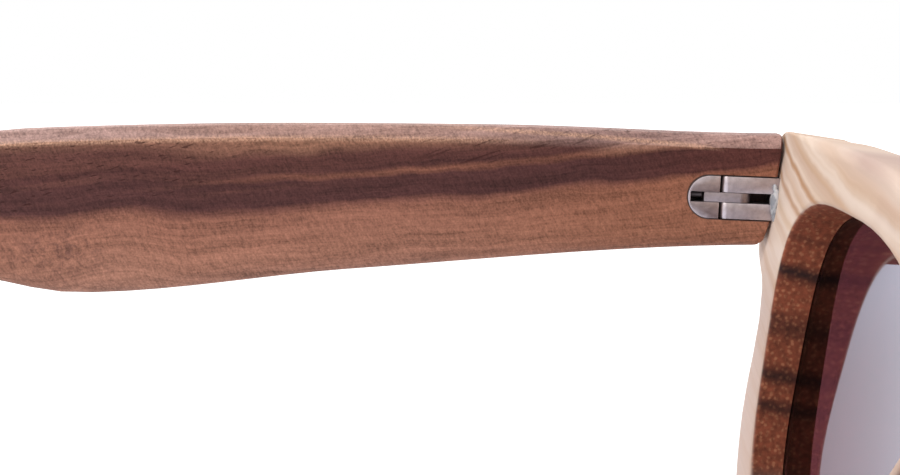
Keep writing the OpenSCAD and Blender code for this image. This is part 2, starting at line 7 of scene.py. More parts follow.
# %% Load the frame
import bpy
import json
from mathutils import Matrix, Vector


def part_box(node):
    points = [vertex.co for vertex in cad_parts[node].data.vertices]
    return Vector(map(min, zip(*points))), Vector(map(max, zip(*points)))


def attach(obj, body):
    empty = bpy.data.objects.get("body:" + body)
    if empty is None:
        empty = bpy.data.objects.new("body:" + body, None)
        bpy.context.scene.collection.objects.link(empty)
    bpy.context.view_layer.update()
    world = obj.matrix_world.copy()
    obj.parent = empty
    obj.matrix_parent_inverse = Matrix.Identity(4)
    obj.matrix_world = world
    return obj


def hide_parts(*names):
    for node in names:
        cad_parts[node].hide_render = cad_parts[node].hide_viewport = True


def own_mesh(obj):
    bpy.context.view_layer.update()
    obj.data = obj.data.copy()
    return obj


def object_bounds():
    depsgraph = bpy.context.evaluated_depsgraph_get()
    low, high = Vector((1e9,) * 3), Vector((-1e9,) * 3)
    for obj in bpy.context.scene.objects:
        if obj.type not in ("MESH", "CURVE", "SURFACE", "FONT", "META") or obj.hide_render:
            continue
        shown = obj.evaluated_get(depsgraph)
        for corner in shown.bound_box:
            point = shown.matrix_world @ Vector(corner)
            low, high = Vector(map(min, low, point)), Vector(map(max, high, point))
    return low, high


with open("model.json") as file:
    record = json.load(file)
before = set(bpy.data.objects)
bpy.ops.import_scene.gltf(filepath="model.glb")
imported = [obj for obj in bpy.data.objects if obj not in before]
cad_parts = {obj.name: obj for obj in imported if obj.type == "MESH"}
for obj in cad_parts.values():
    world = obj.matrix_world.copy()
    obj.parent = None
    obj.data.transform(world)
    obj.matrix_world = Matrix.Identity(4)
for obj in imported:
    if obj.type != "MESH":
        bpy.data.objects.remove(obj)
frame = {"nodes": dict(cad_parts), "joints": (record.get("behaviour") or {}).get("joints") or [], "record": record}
cad_box = [list(corner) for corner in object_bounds()]

import json
import math
from types import SimpleNamespace

import bmesh
import bpy
from mathutils import Vector

MM = 0.001
nodes = frame["nodes"]
behaviour = frame["record"]["behaviour"]
body_of = {node: body for body, members in behaviour["bodies"].items() for node in members}
joint_of = {joint["name"]: joint for joint in behaviour["joints"]}
hinge = [Vector(joint["pos_m"]) for joint in frame["joints"] if joint["name"] == "left_fold"][0]
print("nodes:", len(nodes), "pivot of the left hinge:", [round(value / MM, 2) for value in hinge])

# %% [markdown]
# ## The camera
# The picture looks at the inner side of the left temple from just above it, past the other temple. A view
# could be found by trying. Here the camera stands at a distance from the hinge's pivot that was worked out
# from the picture, and looks straight across the glasses and slightly down.

# %% Camera
IMAGE_W = 900
FOCAL_PX = 1574.5
SENSOR = 36.0
PITCH = math.radians(8)
CAMERA_OFFSET = Vector((-166.31, 30.16, 18.99)) * MM

scene = bpy.context.scene
camera_data = bpy.data.cameras.new("camera")
camera_data.sensor_width = SENSOR
camera_data.lens = FOCAL_PX / IMAGE_W * SENSOR
camera_data.clip_start = MM
camera = bpy.data.objects.new("camera", camera_data)
scene.collection.objects.link(camera)
camera.location = hinge + CAMERA_OFFSET
look = Vector((math.cos(PITCH), 0, -math.sin(PITCH)))
camera.rotation_euler = look.to_track_quat("-Z", "Y").to_euler()
scene.camera = camera
print("camera at", [round(value / MM, 1) for value in camera.location], "lens", round(camera_data.lens, 1))

# %% [markdown]
# ## Writing materials as expressions
# A finish such as wood is a sum of many small patterns. They could be wired by hand, node by node. One small
# class that wraps a socket is shorter to read: its operators add Math nodes, and its node method makes any
# other node from a type, its settings, and the values or links of its sockets. Two methods do most of the
# work: rise goes softly from 0 to 1 between two values, and peak is 1 at a place and 0 beyond its reach.

# %% A socket that takes part in Python expressions
class Sock:
    def __init__(self, tree, socket):
        self.tree = tree
        self.socket = socket

    def node(self, kind, settings=None, inputs=None, output=0):
        made = self.tree.nodes.new(kind)
        for name, value in (settings or {}).items():
            if name == "stops":
                set_stops(made.color_ramp.elements, value)
            else:
                setattr(made, name, value)
        for name, value in (inputs or {}).items():
            if isinstance(value, Sock):
                self.tree.links.new(value.socket, made.inputs[name])
            else:
                made.inputs[name].default_value = value
        return Sock(self.tree, made.outputs[output])

    def math(self, operation, *terms):
        return self.node("ShaderNodeMath", {"operation": operation}, dict(enumerate(terms)))

    def __add__(self, other):
        return self.math("ADD", self, other)

    def __radd__(self, other):
        return self.math("ADD", other, self)

    def __sub__(self, other):
        return self.math("SUBTRACT", self, other)

    def __rsub__(self, other):
        return self.math("SUBTRACT", other, self)

    def __mul__(self, other):
        return self.math("MULTIPLY", self, other)

    def __rmul__(self, other):
        return self.math("MULTIPLY", other, self)

    def __pow__(self, other):
        return self.math("POWER", self, other)

    def __abs__(self):
        return self.math("ABSOLUTE", self)

    def rise(self, low, high):
        limits = {"Value": self, "From Min": low, "From Max": high}
        return self.node("ShaderNodeMapRange", {"interpolation_type": "SMOOTHSTEP"}, limits)

    def peak(self, at, reach):
        return 1 - abs(self - at).rise(0.0, reach)

    def most(self, other):
        return self.math("MAXIMUM", self, other)

    def join(self, along, up):
        return self.node("ShaderNodeCombineXYZ", None, {0: self, 1: along, 2: up})

    def axes(self):
        split = self.node("ShaderNodeSeparateXYZ", None, {0: self})
        outputs = split.socket.node.outputs
        return [Sock(self.tree, outputs[axis]) for axis in range(3)]

    def facing(self):
        return Sock(self.tree, self.socket.node.outputs["Normal"]).axes()

    def map(self, scale=(1, 1, 1), turn=(0, 0, 0), move=(0, 0, 0)):
        angles = [math.radians(angle) for angle in turn]
        inputs = {"Vector": self, "Scale": scale, "Rotation": angles, "Location": move}
        return self.node("ShaderNodeMapping", None, inputs)

    def noise(self, scale=1.0, detail=2.0, rough=0.5, twist=0.0):
        inputs = {"Vector": self, "Scale": scale, "Detail": detail, "Roughness": rough, "Distortion": twist}
        return self.node("ShaderNodeTexNoise", None, inputs)

    def ramp(self, stops):
        return self.node("ShaderNodeValToRGB", {"stops": stops}, {"Fac": self})

    def mix(self, low, high):
        sides = {0: self, 6: low, 7: high}
        return self.node("ShaderNodeMix", {"data_type": "RGBA"}, sides, output=2)

    def shade(self, colour):
        settings = {"data_type": "RGBA", "blend_type": "MULTIPLY"}
        grey = self.node("ShaderNodeCombineColor", None, {0: self, 1: self, 2: self})
        return self.node("ShaderNodeMix", settings, {0: 1.0, 6: colour, 7: grey}, output=2)

    def bump(self, height_mm, strength=1.0):
        inputs = {"Height": self, "Distance": height_mm * MM, "Strength": strength}
        return self.node("ShaderNodeBump", None, inputs)

    def surface(self, **sockets):
        inputs = {name.replace("_", " "): value for name, value in sockets.items()}
        made = self.node("ShaderNodeBsdfPrincipled", None, inputs)
        output = self.tree.nodes.new("ShaderNodeOutputMaterial")
        self.tree.links.new(made.socket, output.inputs["Surface"])


def set_stops(elements, stops):
    while len(elements) < len(stops):
        elements.new(0.5)
    for element, (place, colour) in zip(elements, stops):
        element.position = place
        element.color = colour


# %% [markdown]
# ## Where the patterns start
# Both temples and the front carry patterns that belong to places on the glasses, such as the painted shade round
# the hinge. They could each have an origin of their own. Here all are written in millimetres, along the
# temple and up from the left hinge, and the two sides share them because only the distance across counts.

# %% New materials and their millimetres
PIVOT_BACK = 4.3
INNER_FACE = 63.9
TO_MM = (1 / MM, 1 / MM, 1 / MM)
along_shift = -(hinge.y / MM - PIVOT_BACK)
up_shift = -hinge.z / MM


def new_material(name):
    made = bpy.data.materials.new(name)
    made.use_nodes = True
    made.node_tree.nodes.clear()
    coordinates = made.node_tree.nodes.new("ShaderNodeTexCoord")
    return made, Sock(made.node_tree, coordinates.outputs["Object"])


def colour(red, green, blue):
    return (red, green, blue, 1.0)


def from_hinge(place):
    return place.map(TO_MM, move=(0, along_shift, up_shift))


print("patterns start at", round(along_shift, 2), round(up_shift, 2))

# %% [markdown]
# ## Smooth copies of the solids
# The solids arrive as loose triangles. A copy with its doubles merged can be shaded smoothly, with sharp
# edges only where two faces meet at more than a given angle. Steel edges also get a small bevel, because a
# real edge is never perfectly sharp and catches a line of light.

# %% Copy a solid and finish its edges
MERGE = 0.002 * MM
FLAT = math.radians(0.3)


def dress(node, material, sharp, bevel=0.0, flat=False):
    work = bmesh.new()
    work.from_mesh(nodes[node].data)
    bmesh.ops.remove_doubles(work, verts=work.verts, dist=MERGE)
    if flat:
        bmesh.ops.dissolve_limit(work, angle_limit=FLAT, verts=work.verts, edges=work.edges)
    limit = math.radians(sharp)
    if bevel:
        edges = [edge for edge in work.edges if edge.is_manifold and edge.calc_face_angle() > limit]
        bmesh.ops.bevel(
            work, geom=edges, offset=bevel * MM, offset_type="OFFSET", segments=2, profile=0.5,
            affect="EDGES", material=-1, clamp_overlap=True,
        )
    for face in work.faces:
        face.smooth = True
    for edge in work.edges:
        edge.smooth = edge.is_manifold and edge.calc_face_angle() < limit
    mesh = bpy.data.meshes.new(node + "_piece")
    work.to_mesh(mesh)
    work.free()
    piece = bpy.data.objects.new(node + "_piece", mesh)
    scene.collection.objects.link(piece)
    piece.data.materials.append(material)
    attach(piece, body_of[node])
    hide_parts(node)
    return piece


# %% [markdown]
# ## Temple wood: how the grain runs
# The temples are sawn from red-brown wood with a dark heart along the upper half. An image would show one
# face only. Here every point of the solid gets its height above the heart's wavy lower edge, called its
# layer, so that what is drawn over the layers shows on every face, as on a real piece of wood. Noise that is
# stretched along the temple makes fibres and threads, and turned noise makes the ripple across them.

# %% How the temple's grain runs
# A grain is a pattern's cycles per millimetre across, along and up the temple
HEART_AT = 3.55
HEART_FALL = 0.115
HEART_BEND = 0.00058
SWELL_PLACE = (69.5, 8.0)
SWELL = 0.9
WOBBLE_GRAIN = (1.0, 0.09, 0.16)
WOBBLE = 2.2
FIBRE_GRAIN = (0.8, 0.06, 1.3)
THREAD_GRAIN = (2.0, 0.22, 5.0)
RIPPLE_GRAIN = (1.5, 3.2, 1.1)
RIPPLE_TURN = 30
SPECK_SIZE = 4.6


def drawn(grain, cycles, height, detail=3.0, rough=0.55, twist=0.0):
    across, along, up = cycles
    stretched = (grain.far * across).join(grain.along * along, height * up)
    return stretched.map(move=grain.offset).noise(1.0, detail, rough, twist)


def heart_height(along, drift):
    swell = along.peak(*SWELL_PLACE) * SWELL
    return HEART_AT + drift - along * HEART_FALL + along * along * HEART_BEND + swell


def temple_grain(place, drift, offset):
    grain = SimpleNamespace(spot=from_hinge(place), offset=offset)
    grain.far, grain.along, grain.up = grain.spot.axes()
    wobble = drawn(grain, WOBBLE_GRAIN, grain.up) - 0.5
    grain.layer = grain.up - heart_height(grain.along, drift) + wobble * WOBBLE
    grain.fibre = drawn(grain, FIBRE_GRAIN, grain.layer, detail=4.0, rough=0.6, twist=0.3)
    grain.thread = drawn(grain, THREAD_GRAIN, grain.layer, rough=0.6)
    turned = grain.spot.map(turn=(RIPPLE_TURN, 0, 0))
    grain.ripple = turned.map(scale=RIPPLE_GRAIN).noise(detail=2.0, rough=0.5, twist=0.6)
    grain.speck = grain.spot.noise(SPECK_SIZE, detail=2.0, rough=0.6)
    return grain


print("the heart's edge lies", HEART_AT, "mm above the pivot at the hinge")

# %% [markdown]
# ## Temple wood: heart and brown streaks
# Under its heart the wood is pale red-brown, then comes a sudden dark edge, and above it the heart slowly
# gets paler. One colour per region would need a border for each. A ramp of colours over the layers has them
# all, and its close stops are the sudden edge. Brown streaks in the rear half and warmer tones by the hinge
# are then mixed in.

# %% Heart and brown streaks
RAMP_MM = 20.0
BAND_STOPS = (
    (-9.0, (0.350, 0.172, 0.122)),
    (-4.0, (0.328, 0.146, 0.099)),
    (-0.9, (0.290, 0.122, 0.083)),
    (-0.25, (0.185, 0.074, 0.056)),
    (0.2, (0.084, 0.032, 0.030)),
    (2.4, (0.080, 0.030, 0.028)),
    (4.3, (0.098, 0.036, 0.031)),
    (6.0, (0.112, 0.043, 0.036)),
    (9.0, (0.170, 0.075, 0.058)),
)
HEART_BROWN = colour(0.150, 0.060, 0.045)
BROWN_GRAIN = (0.6, 0.045, 0.9)
BROWN_SLANT = 0.1
BROWN_SEEN = (0.44, 0.62)
BROWN_LAYER = (0.7, 1.8)
BROWN_FROM = (40.0, 58.0)
BROWN_SHARE = 0.35
WARM_HEART = colour(0.200, 0.045, 0.020)
WARM_HEART_ENDS = (2.0, 22.0)
WARM_HEART_SHARE = 0.12
WARM_WOOD = colour(0.305, 0.116, 0.062)
WARM_WOOD_ENDS = (8.0, 42.0)
WARM_WOOD_SHARE = 0.5
HEART_EDGE = (-0.8, 0.2)


def heart_bands(grain):
    stops = [(height / RAMP_MM + 0.5, colour(*tone)) for height, tone in BAND_STOPS]
    return (grain.layer * (1 / RAMP_MM) + 0.5).ramp(stops)


def brown_streaks(grain, tone):
    flow = drawn(grain, BROWN_GRAIN, grain.up + grain.along * BROWN_SLANT)
    seen = flow.rise(*BROWN_SEEN) * grain.layer.rise(*BROWN_LAYER) * grain.along.rise(*BROWN_FROM)
    return (seen * BROWN_SHARE).mix(tone, HEART_BROWN)


def warm_by_hinge(grain, tone):
    heart = grain.layer.rise(*HEART_EDGE)
    warm_heart = (1 - grain.along.rise(*WARM_HEART_ENDS)) * heart
    tone = (warm_heart * WARM_HEART_SHARE).mix(tone, WARM_HEART)
    warm_wood = (1 - grain.along.rise(*WARM_WOOD_ENDS)) * (1 - heart)
    return (warm_wood * WARM_WOOD_SHARE).mix(tone, WARM_WOOD)


print("the ramp has", len(BAND_STOPS), "colours over", RAMP_MM, "mm")

# %% [markdown]
# ## Temple wood: pale streaks
# A pale streak runs in the heart, a wedge of sapwood reaches its top by the hinge, and the sun has browned
# the crown of the temple. Painted stripes would end at the edge of a face. Peaks over the layers make
# streaks that go on round the edge.

# %% Pale streaks
STREAK = colour(0.215, 0.084, 0.056)
STREAK_LAYER = (2.9, 0.65)
STREAK_ENDS = (42.0, 68.0)
STREAK_LEAST = 0.4
SAPWOOD = colour(0.420, 0.215, 0.145)
WEDGE_LAYER = (3.3, 0.9)
WEDGE_PLACE = (13.0, 9.0)
WEDGE_SHARE = 0.8
# Sun-browned tone of the crown; mixed in just below the arris it is also a lighter blend that softens the edge of
# the painted sheen
SUN_BROWN_AND_SHEEN = colour(0.355, 0.172, 0.110)
CROWN_LAYER = (4.9, 6.6)
CROWN_PLACE = (45.0, 26.0)
CROWN_SHARE = 0.85


def pale_streaks(grain, tone):
    pale = grain.layer.peak(*STREAK_LAYER) * (1 - grain.along.rise(*STREAK_ENDS))
    tone = (pale * (STREAK_LEAST + grain.fibre)).mix(tone, STREAK)
    wedge = grain.layer.peak(*WEDGE_LAYER) * grain.along.peak(*WEDGE_PLACE)
    tone = (wedge * WEDGE_SHARE).mix(tone, SAPWOOD)
    crown = grain.layer.rise(*CROWN_LAYER) * grain.along.peak(*CROWN_PLACE)
    return (crown * CROWN_SHARE).mix(tone, SUN_BROWN_AND_SHEEN)


print("the pale streak lies", STREAK_LAYER[0], "mm above the heart's edge")

# %% [markdown]
# ## Temple wood: painted sheen and highlights on the upper edge
# The rounded upper side is painted lighter, a painted sheen of the light from above, and the arris under it and
# a line above it get painted highlights. A lighter tone just below the arris softens the sheen's edge. Here the
# upper side is found by which way the surface faces, and the two lines by their height, each a gentle curve
# along the temple. In the front part the arris is round, so there the painted sheen fades across it.

# %% Painted sheen and highlights on the upper edge
# A line is a height at the hinge, a rise and a bend
ARRIS = (4.91, 0.0574, -0.000594)
UPPER_LINE = (4.50, 0.1237, -0.00115)
FACING_UP = (0.2, 0.5)
SOFT_PLACE = (22.0, 16.0)
SOFT_ABOVE = (0.0, 0.6)
SOFT_ABOVE_SHARE = 0.4
SOFT_BELOW = (-0.7, 0.1)
SOFT_BELOW_SHARE = 0.6
# A lighter tone from just below the arris softens the edge of the painted sheen
SHEEN_EDGE_BELOW = (-1.5, 0.2)
SHEEN_EDGE_FROM = (20.0, 36.0)
SHEEN_EDGE_SHARE = 0.42
# Colour of the painted sheen on the upward-facing side
PAINTED_SHEEN = colour(0.425, 0.264, 0.232)
SHEEN_LEAST = 0.25
SHEEN_FIBRE = 0.9
PALER_FROM = (58.0, 74.0)
PALER_SHARE = 0.25
# Colour of the painted highlight lines along the arris and above it
ARRIS_HIGHLIGHT = colour(0.600, 0.345, 0.235)
HIGHLIGHT_SPECK = 1.6
HIGHLIGHT_LESS = 0.25
ARRIS_REACH = 0.5
ARRIS_FROM = (22.0, 36.0)
UPPER_REACH = 0.4
UPPER_FROM = (5.0, 9.0)
UPPER_ENDS = (26.0, 40.0)


def above(grain, line):
    at, rise, bend = line
    return grain.up - (at + grain.along * rise + grain.along * grain.along * bend)


# Upward-facing surfaces get a painted sheen of the light from above, softened round the arris by the hinge
def sheen_side(grain, turn_z):
    over = above(grain, ARRIS)
    soft = grain.along.peak(*SOFT_PLACE)
    fade = soft * (1 - over.rise(*SOFT_ABOVE)) * SOFT_ABOVE_SHARE
    return (turn_z.rise(*FACING_UP) * (1 - fade)).most(over.rise(*SOFT_BELOW) * soft * SOFT_BELOW_SHARE)


# Lays the lighter blend below the arris, the painted sheen, and the painted highlight lines
def sheen_tones(grain, upper_sheen, tone):
    over = above(grain, ARRIS)
    sheen_edge = over.rise(*SHEEN_EDGE_BELOW) * grain.along.rise(*SHEEN_EDGE_FROM)
    tone = (sheen_edge * SHEEN_EDGE_SHARE).mix(tone, SUN_BROWN_AND_SHEEN)
    paler = SHEEN_LEAST + grain.fibre * SHEEN_FIBRE + grain.along.rise(*PALER_FROM) * PALER_SHARE
    tone = (upper_sheen * paler).mix(tone, PAINTED_SHEEN)
    arris = over.peak(0.0, ARRIS_REACH) * grain.along.rise(*ARRIS_FROM)
    stretch = grain.along.rise(*UPPER_FROM) * (1 - grain.along.rise(*UPPER_ENDS))
    upper = above(grain, UPPER_LINE).peak(0.0, UPPER_REACH) * stretch
    speckled = grain.speck * HIGHLIGHT_SPECK - HIGHLIGHT_LESS
    return (arris.most(upper) * speckled).mix(tone, ARRIS_HIGHLIGHT)


print("the arris starts", ARRIS[0], "mm up, the line above it", UPPER_LINE[0], "mm up")

# %% [markdown]
# ## Temple wood: figure and pores
# The belly has a mottled burl, and the whole wood a play of light and dark from its fibres. Long pores lie
# open in the rear half and by the hinge, and a few short cracks near the top. A bump alone would be too
# faint for them, so they are both dark and cut in.

# %% Figure and pores
MOTTLE = colour(0.135, 0.062, 0.050)
BURL_ALONG = (76.0, 9.0)
BURL_UP = (-6.0, 5.5)
BURL_SIZE = 0.9
BURL_SEEN = (0.42, 0.64)
BURL_SHARE = 0.75
FIBRE_PLAY = 1.3
THREAD_PLAY = 0.7
SPECK_PLAY = 1.1
PLAY_LESS = 1.04
PORE_GRAIN = (1.2, 0.75, 4.2)
PORE_SLANT = 0.21
PORE_SEEN = (0.64, 0.74)
PORES_FEW = 0.15
PORES_MORE = 0.85
PORES_FROM = (46.0, 62.0)
PORES_LAYER = (-0.5, 0.8)
HINGE_PORES_END = (12.0, 26.0)
HINGE_PORES = 0.7
CRACK_GRAIN = (0.7, 0.17, 3.0)
CRACK_SLANT = 0.36
CRACK_SEEN = (0.61, 0.645)
CRACK_LAYER = (2.8, 3.8)
CRACK_PLACE = (24.0, 19.0)
CRACK_FADE = (0.0, 0.5)
CRACK_SHARE = 0.8
SHEEN_PORES_CLOSED = 0.7


def figured(grain, tone):
    cloud = grain.spot.map(move=grain.offset).noise(BURL_SIZE, detail=5.0, rough=0.65, twist=0.8)
    burl = grain.along.peak(*BURL_ALONG) * grain.up.peak(*BURL_UP) * cloud.rise(*BURL_SEEN)
    tone = (burl * BURL_SHARE).mix(tone, MOTTLE)
    play = grain.fibre * FIBRE_PLAY + grain.thread * THREAD_PLAY + grain.ripple + grain.speck * SPECK_PLAY
    return (play - PLAY_LESS).shade(tone)


def open_pores(grain, upper_sheen):
    pores = drawn(grain, PORE_GRAIN, grain.up + grain.along * PORE_SLANT, detail=1.0, rough=0.5)
    rear = grain.along.rise(*PORES_FROM) * grain.layer.rise(*PORES_LAYER)
    by_hinge = upper_sheen * (1 - grain.along.rise(*HINGE_PORES_END))
    dense = (PORES_FEW + rear * PORES_MORE).most(by_hinge * HINGE_PORES)
    cracks = drawn(grain, CRACK_GRAIN, grain.up + grain.along * CRACK_SLANT, detail=1.0, rough=0.5)
    near_top = grain.layer.rise(*CRACK_LAYER) * grain.along.peak(*CRACK_PLACE)
    crack = cracks.rise(*CRACK_SEEN) * near_top.rise(*CRACK_FADE)
    slit = (pores.rise(*PORE_SEEN) * dense).most(crack * CRACK_SHARE)
    return slit * (1 - (upper_sheen - by_hinge) * SHEEN_PORES_CLOSED)


print("pores are", round(1 / PORE_GRAIN[1], 1), "mm long, cracks", round(1 / CRACK_GRAIN[1], 1), "mm")

# %% [markdown]
# ## Temple wood: painted shade round the inlay
# Round the steel that is let into the temple runs a thin line of painted shade, where the narrow gap lies in
# shadow, and the walls of its pocket are painted dark as shade. A ring could be modelled for it. The distance
# from the outline of the inlay, a straight part with a round end, gives the line at its true width, and the
# depth below the wood's face gives the walls.

# %% Painted shade round the inlay
INLAY_ROUND_AT = 2.8
INLAY_HALF = 2.31
GAP = (0.02, 0.16)
INSIDE = (-0.3, 0.0)
BELOW_FACE = (0.2, 0.6)
POCKET_FLOOR = (3.7, 4.1)
fold_axis = joint_of["left_fold"]["axis"]
hinge_lean = math.atan2(-fold_axis[1], fold_axis[2])


# A line of painted shade along the gap round the inlay, and painted shade on the pocket walls below the wood's
# face
def inlay_shade(grain):
    back = grain.along - PIVOT_BACK
    level = grain.up - back * math.tan(hinge_lean)
    beyond = (back - INLAY_ROUND_AT).most(0.0)
    ring = (beyond * beyond + level * level) ** 0.5 - INLAY_HALF
    depth = abs(grain.far) - INNER_FACE
    walls = (1 - ring.rise(*INSIDE)) * depth.rise(*BELOW_FACE)
    line = 1 - abs(ring).rise(*GAP)
    return line.most(walls) * (1 - depth.rise(*POCKET_FLOOR))


print("the hinge leans", round(math.degrees(hinge_lean), 2), "degrees")

# %% [markdown]
# ## The temples
# The tones are now laid over each other in this order: the wood, its painted sheen and highlights, its figure,
# its pores and the painted shade round the inlay. The same steps serve both temples, and a shift of the patterns
# makes the right one another piece of the same board.

# %% Temples
PORE = colour(0.040, 0.011, 0.009)
PORE_SHARE = 0.7
POCKET_SHADE = colour(0.042, 0.034, 0.034)
POCKET_SHADE_SHARE = 0.85
OILED_ROUGH = 0.58
FIBRE_GLOSS = 0.16
CUT_ROUGH = 0.2
WOOD_SPECULAR = 0.12
TEMPLE_SHARP = 17
TEMPLE_RELIEF = 0.07
RELIEF_STRENGTH = 0.55
FIBRE_RELIEF = 0.3
THREAD_RELIEF = 0.4
RIPPLE_RELIEF = 0.5
SPECK_RELIEF = 0.3
CUT_RELIEF = 1.2


def temple_wood(name, drift, offset):
    material, place = new_material(name)
    grain = temple_grain(place, drift, offset)
    turn_z = place.facing()[2]
    # The upward-facing side gets a painted sheen, and its edge lines painted highlights
    upper_sheen = sheen_side(grain, turn_z)
    tone = brown_streaks(grain, heart_bands(grain))
    tone = pale_streaks(grain, warm_by_hinge(grain, tone))
    tone = figured(grain, sheen_tones(grain, upper_sheen, tone))
    cut = open_pores(grain, upper_sheen)
    tone = (cut * PORE_SHARE).mix(tone, PORE)
    # Painted shade round the inlay and in its pocket
    tone = (inlay_shade(grain) * POCKET_SHADE_SHARE).mix(tone, POCKET_SHADE)
    height = grain.fibre * FIBRE_RELIEF + grain.thread * THREAD_RELIEF + grain.ripple * RIPPLE_RELIEF
    height = height + grain.speck * SPECK_RELIEF - cut * CUT_RELIEF
    place.surface(
        Base_Color=tone,
        Roughness=OILED_ROUGH - grain.fibre * FIBRE_GLOSS + cut * CUT_ROUGH,
        Specular_IOR_Level=WOOD_SPECULAR,
        Normal=height.bump(TEMPLE_RELIEF, RELIEF_STRENGTH),
    )
    return material


left_wood = temple_wood("temple_wood_left", 0.0, (0, 0, 0))
right_wood = temple_wood("temple_wood_right", 0.6, (7, 31, 5))
temple_left = dress("temple_left", left_wood, TEMPLE_SHARP)
temple_right = dress("temple_right", right_wood, TEMPLE_SHARP)
print("temples:", len(temple_left.data.polygons), "and", len(temple_right.data.polygons), "faces")

# %% [markdown]
# ## Front wood: how the layers run
# The front is carved from one pale board with soft brown growth lines. On its faces they rise from the nose
# to the sides and climb steeply at the outer ends. Lines could be drawn on each face. A height that follows
# the growth of the board, as in the temples, gives lines that meet at every edge of the carving.

# %% How the front's layers run
RISE = 0.15
RISE_ROUND = 15.0
CLIMB_FROM = 40.0
CLIMB = 0.000187
LEAN = 0.2
WAVE_GRAIN = (0.08, 0.12, 0.16)
WAVE = 1.4
CURL_GRAIN = (0.3, 0.3, 0.45)
CURL = 0.6


def front_board(place):
    board = SimpleNamespace(spot=from_hinge(place))
    board.side, board.along, board.up = board.spot.axes()
    climb = (abs(board.side) - CLIMB_FROM).most(0.0)
    slope = (board.side * board.side + RISE_ROUND * RISE_ROUND) ** 0.5 * RISE
    wave = board.spot.map(scale=WAVE_GRAIN).noise(detail=3.0, rough=0.5) - 0.5
    curl = board.spot.map(scale=CURL_GRAIN).noise(detail=2.0, rough=0.5) - 0.5
    plain = board.up - slope - climb * climb * climb * CLIMB - board.along * LEAN
    board.layer = plain + wave * WAVE + curl * CURL
    return board


def stripes_of(layer, stripes):
    total = layer * 0.0
    for at, reach, strength in stripes:
        total = total.most(layer.peak(at, reach) * strength)
    return total


print("the layers climb from", CLIMB_FROM, "mm to each side")

# %% [markdown]
# ## Front wood: the faces
# Where the faces run along the fibres the wood is cream, with tan bands, a pink blush on the shoulders and
# under the hinges, and thin brown lines. A single ramp would repeat. Separate soft noises give the bands and
# the blush, and a short list gives each line its layer, its reach and its strength.

# %% The faces of the front
PALE = colour(0.745, 0.60, 0.505)
TAN = colour(0.63, 0.44, 0.30)
TAN_GRAIN = (0.55, 0.02)
TAN_SEEN = (0.42, 0.7)
TAN_SHARE = 0.8
PINK = colour(0.485, 0.33, 0.275)
CLOUD_SIZE = 0.11
CLOUD_SEEN = (0.52, 0.68)
CLOUD_SHARE = 0.2
SHOULDER_SIDE = (39.0, 17.0)
SHOULDER_LAYER = (0.7, 2.2)
LOWER_FROM = (3.0, 12.0)
LOWER_SHARE = 0.65
LINE = colour(0.42, 0.20, 0.085)
LINE_SHARE = 0.9
FINE_LEAST = 0.92
FINE_PLAY = 0.16
STILL = 0.001
FACE_LINES = (
    (-6.9, 0.75, 0.85),
    (-9.9, 0.75, 0.8),
    (-4.8, 1.7, 0.5),
    (-8.4, 1.6, 0.3),
    (-1.3, 1.6, 0.45),
    (-13.6, 0.8, 0.3),
    (-19.5, 1.0, 0.3),
)


def along_layers(board, cycles):
    per_layer, per_side = cycles
    return (board.layer * STILL).join(board.layer * per_layer, board.side * per_side)


def face_tones(board, fine):
    broad = along_layers(board, TAN_GRAIN).noise(detail=2.0, rough=0.5)
    tone = (broad.rise(*TAN_SEEN) * TAN_SHARE).mix(PALE, TAN)
    cloud = board.spot.noise(CLOUD_SIZE, detail=2.0, rough=0.5).rise(*CLOUD_SEEN)
    shoulder = abs(board.side).peak(*SHOULDER_SIDE) * board.layer.peak(*SHOULDER_LAYER)
    lower = (0 - board.up).rise(*LOWER_FROM)
    blush = (cloud * CLOUD_SHARE).most(shoulder).most(lower * LOWER_SHARE)
    tone = blush.mix(tone, PINK)
    tone = (stripes_of(board.layer, FACE_LINES) * LINE_SHARE).mix(tone, LINE)
    return (FINE_LEAST + fine * FINE_PLAY).shade(tone)


print("the faces have", len(FACE_LINES), "growth lines")

# %% [markdown]
# ## Front wood: the end grain
# Where the openings and the outer ends cut across the fibres, the wood is brown, with broad dark stripes
# and pale pores. Two materials would need a border drawn by hand. One finish reads the same layers and asks
# which way the surface faces, so that the border makes itself. The pores are cells of a flat pattern. The wall
# over each opening faces down and is brown too, partly its own wood and partly painted shade.

# %% The end grain of the front
END = colour(0.255, 0.067, 0.034)
END_DARK = colour(0.028, 0.010, 0.009)
END_DARK_SHARE = 0.97
END_STRIPES = (
    (-17.3, 1.5, 1.0),
    (-23.0, 2.2, 0.65),
    (-28.2, 1.3, 0.9),
    (-31.3, 1.4, 0.85),
    (-38.0, 1.4, 0.8),
    (-12.9, 0.8, 0.35),
)
END_PORE = colour(0.440, 0.185, 0.095)
END_PORE_SHARE = 0.62
END_PORE_LESS = 0.5
PORES_PER_MM = 1.6
PORE_SIZE = (0.1, 0.42)
MOTTLE_SIZE = 1.6
MOTTLE_SEEN = (0.3, 0.62)
MOTTLE_PLAY = 1.5
MOTTLE_LEAST = 0.15
LOW_END = (8.0, 16.0)
LOW_END_SHADE = 0.12
END_OUTWARD = 0.93
END_UPWARD = 0.36
END_FACING = (0.35, 0.75)
FACING_DOWN = (0.55, 0.75)
UPPER_WALL = (-14.0, -8.0)


def end_pores(board, mottle):
    flat = {"voronoi_dimensions": "2D"}
    inputs = {"Vector": board.along.join(board.up, 0.0), "Scale": PORES_PER_MM}
    cells = board.spot.node("ShaderNodeTexVoronoi", flat, inputs)
    return (1 - cells.rise(*PORE_SIZE)) * mottle.rise(*MOTTLE_SEEN)


